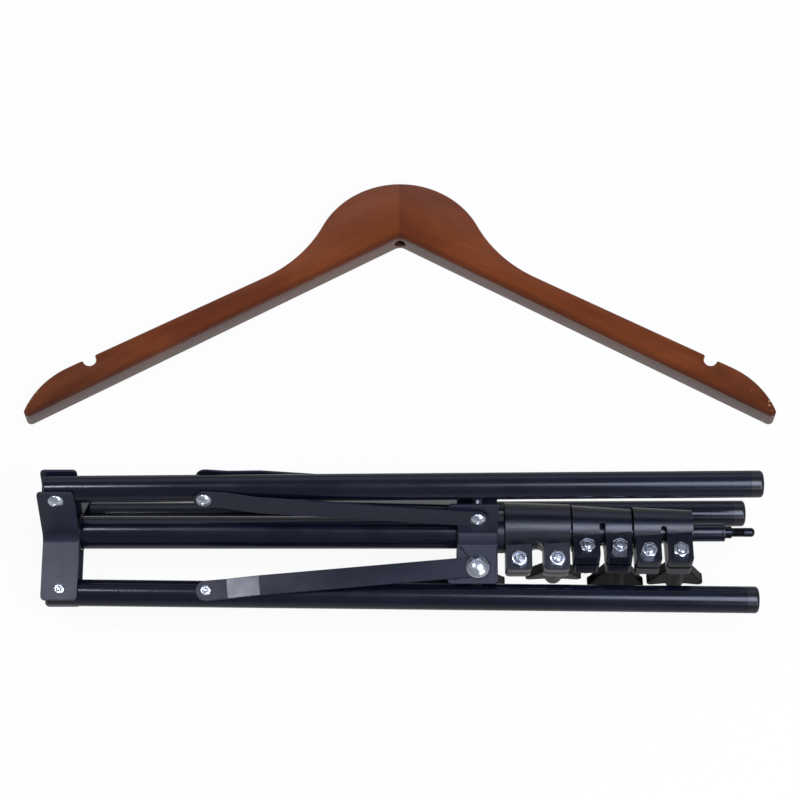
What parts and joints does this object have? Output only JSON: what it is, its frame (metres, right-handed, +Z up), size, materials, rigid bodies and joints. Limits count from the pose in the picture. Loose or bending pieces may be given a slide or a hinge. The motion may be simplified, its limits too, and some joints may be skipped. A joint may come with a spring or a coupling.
{
  "type": "garment display stand",
  "caption": "Folding garment display stand: reverse-folding tripod with sliding collar and braces, telescopic column with clamp locks and top stud, and a wooden hanger lying beside it.",
  "frame": {"origin": "centre of the bottom of the box round the folded stand and its hanger, which lie on the floor", "axes": "+X along the folded column from the hub to the stud, +Y from the stand to the hanger's crown, +Z up"},
  "size_m": [0.445, 0.2883, 0.0815],
  "materials": {
    "black_paint": "gloss",
    "black_nylon": "satin",
    "zinc_steel": "bright zinc",
    "black_steel": "dark chrome",
    "grey_pin": "satin",
    "walnut_left": "lacquered",
    "walnut_right": "lacquered",
    "pale_acetal": "satin",
    "brown_steel": "satin"
  },
  "bodies": {
    "column": {"outer_tube": "black_paint", "column_foot_cap": "black_paint", "hub_plate_1": "black_paint", "hub_plate_2": "black_paint", "hub_plate_3": "black_paint", "hub_rivets": "zinc_steel", "lock_1_body": "black_nylon", "lock_1_bolt": "zinc_steel", "lock_1_nuts": "zinc_steel"},
    "lock_1_knob": {"lock_1_knob": "black_nylon", "lock_1_knob_screw": "zinc_steel"},
    "collar": {"collar_sleeve": "black_nylon", "collar_plate_1": "black_paint", "collar_plate_2": "black_paint", "collar_plate_3": "black_paint", "collar_rivets": "zinc_steel", "collar_clamp_bolt": "zinc_steel"},
    "collar_knob": {"collar_knob": "black_nylon"},
    "section_2": {"section_2_tube": "black_paint", "section_2_guide": "pale_acetal", "lock_2_body": "black_nylon", "lock_2_bolt": "zinc_steel", "lock_2_nuts": "zinc_steel"},
    "lock_2_knob": {"lock_2_knob": "black_nylon", "lock_2_knob_screw": "zinc_steel"},
    "section_3": {"section_3_tube": "black_paint", "section_3_guide": "pale_acetal", "lock_3_body": "black_nylon", "lock_3_bolt": "zinc_steel", "lock_3_nuts": "zinc_steel"},
    "lock_3_knob": {"lock_3_knob": "black_nylon", "lock_3_knob_screw": "zinc_steel"},
    "section_4": {"section_4_tube": "black_paint", "section_4_guide": "pale_acetal", "top_plug": "black_nylon", "top_stud": "black_steel"},
    "hanger": {"hanger_left_arm": "walnut_left", "hanger_right_arm": "walnut_right", "hanger_socket": "brown_steel"},
    "leg_1": {"leg_1_tube": "black_paint", "leg_1_foot": "black_nylon", "leg_1_plug": "black_paint", "leg_1_strut_pin": "grey_pin"},
    "strut_1": {"strut_1_plates": "black_paint", "strut_1_rivet": "zinc_steel"},
    "leg_2": {"leg_2_tube": "black_paint", "leg_2_foot": "black_nylon", "leg_2_plug": "black_paint", "leg_2_strut_pin": "grey_pin"},
    "strut_2": {"strut_2_plates": "black_paint", "strut_2_rivet": "zinc_steel"},
    "leg_3": {"leg_3_tube": "black_paint", "leg_3_foot": "black_nylon", "leg_3_plug": "black_paint", "leg_3_strut_pin": "grey_pin"},
    "strut_3": {"strut_3_plates": "black_paint", "strut_3_rivet": "zinc_steel"}
  },
  "joints": [
    {"name": "leg_1_hinge", "type": "hinge", "parent": "column", "child": "leg_1", "pos_m": [-0.1893, -0.08541, 0.06998], "axis": [0, -0.9272, 0.3746], "range_deg": [0, 120]},
    {"name": "leg_2_hinge", "type": "hinge", "parent": "column", "child": "leg_2", "pos_m": [-0.1893, -0.1325, 0.0332], "axis": [0, 0.1392, -0.9903], "range_deg": [0, 120]},
    {"name": "leg_3_hinge", "type": "hinge", "parent": "column", "child": "leg_3", "pos_m": [-0.1893, -0.0771, 0.01081], "axis": [0, 0.788, 0.6157], "range_deg": [0, 120]},
    {"name": "collar_slide", "type": "slide", "parent": "column", "child": "collar", "axis": [-1, 0, 0], "range_m": [0, 0.1473]},
    {"name": "strut_1_hinge", "type": "hinge", "parent": "collar", "child": "strut_1", "pos_m": [0.0432, -0.0901, 0.05839], "axis": [0, 0.9272, -0.3746], "range_deg": [0, 28.11]},
    {"name": "strut_2_hinge", "type": "hinge", "parent": "collar", "child": "strut_2", "pos_m": [0.0432, -0.12012, 0.03493], "axis": [0, -0.1392, 0.9903], "range_deg": [0, 28.11]},
    {"name": "strut_3_hinge", "type": "hinge", "parent": "collar", "child": "strut_3", "pos_m": [0.0432, -0.08479, 0.02066], "axis": [0, -0.788, -0.6157], "range_deg": [0, 28.11]},
    {"name": "section_2_slide", "type": "slide", "parent": "column", "child": "section_2", "axis": [1, 0, 0], "range_m": [0, 0.19]},
    {"name": "section_3_slide", "type": "slide", "parent": "section_2", "child": "section_3", "axis": [1, 0, 0], "range_m": [0, 0.19]},
    {"name": "section_4_slide", "type": "slide", "parent": "section_3", "child": "section_4", "axis": [1, 0, 0], "range_m": [0, 0.19]},
    {"name": "lock_1_knob_turn", "type": "hinge", "parent": "column", "child": "lock_1_knob", "pos_m": [0.0877, -0.11581, 0.03585], "axis": [0, -0.1219, 0.9925], "range_deg": [0, 360]},
    {"name": "lock_2_knob_turn", "type": "hinge", "parent": "section_2", "child": "lock_2_knob", "pos_m": [0.1222, -0.11412, 0.04164], "axis": [0, 0.225, 0.9744], "range_deg": [0, 360]},
    {"name": "lock_3_knob_turn", "type": "hinge", "parent": "section_3", "child": "lock_3_knob", "pos_m": [0.1564, -0.11448, 0.03941], "axis": [0, 0.0872, 0.9962], "range_deg": [0, 360]},
    {"name": "collar_knob_turn", "type": "hinge", "parent": "collar", "child": "collar_knob", "pos_m": [0.0432, -0.12012, 0.03493], "axis": [0, -0.1392, 0.9903], "range_deg": [0, 360]},
    {"name": "hanger_lift", "type": "slide", "parent": "column", "child": "hanger", "axis": [0, 0, 1], "range_m": [0, 0.15]}
  ],
  "couplings": [
    {"joint": "leg_2_hinge", "follows": "leg_1_hinge", "ratio": 1},
    {"joint": "leg_3_hinge", "follows": "leg_1_hinge", "ratio": 1},
    {"joint": "collar_slide", "follows": "leg_1_hinge", "m_per_rad": 0.07004},
    {"joint": "strut_1_hinge", "follows": "leg_1_hinge", "ratio": 0.23258},
    {"joint": "strut_2_hinge", "follows": "leg_1_hinge", "ratio": 0.23258},
    {"joint": "strut_3_hinge", "follows": "leg_1_hinge", "ratio": 0.23258}
  ]
}
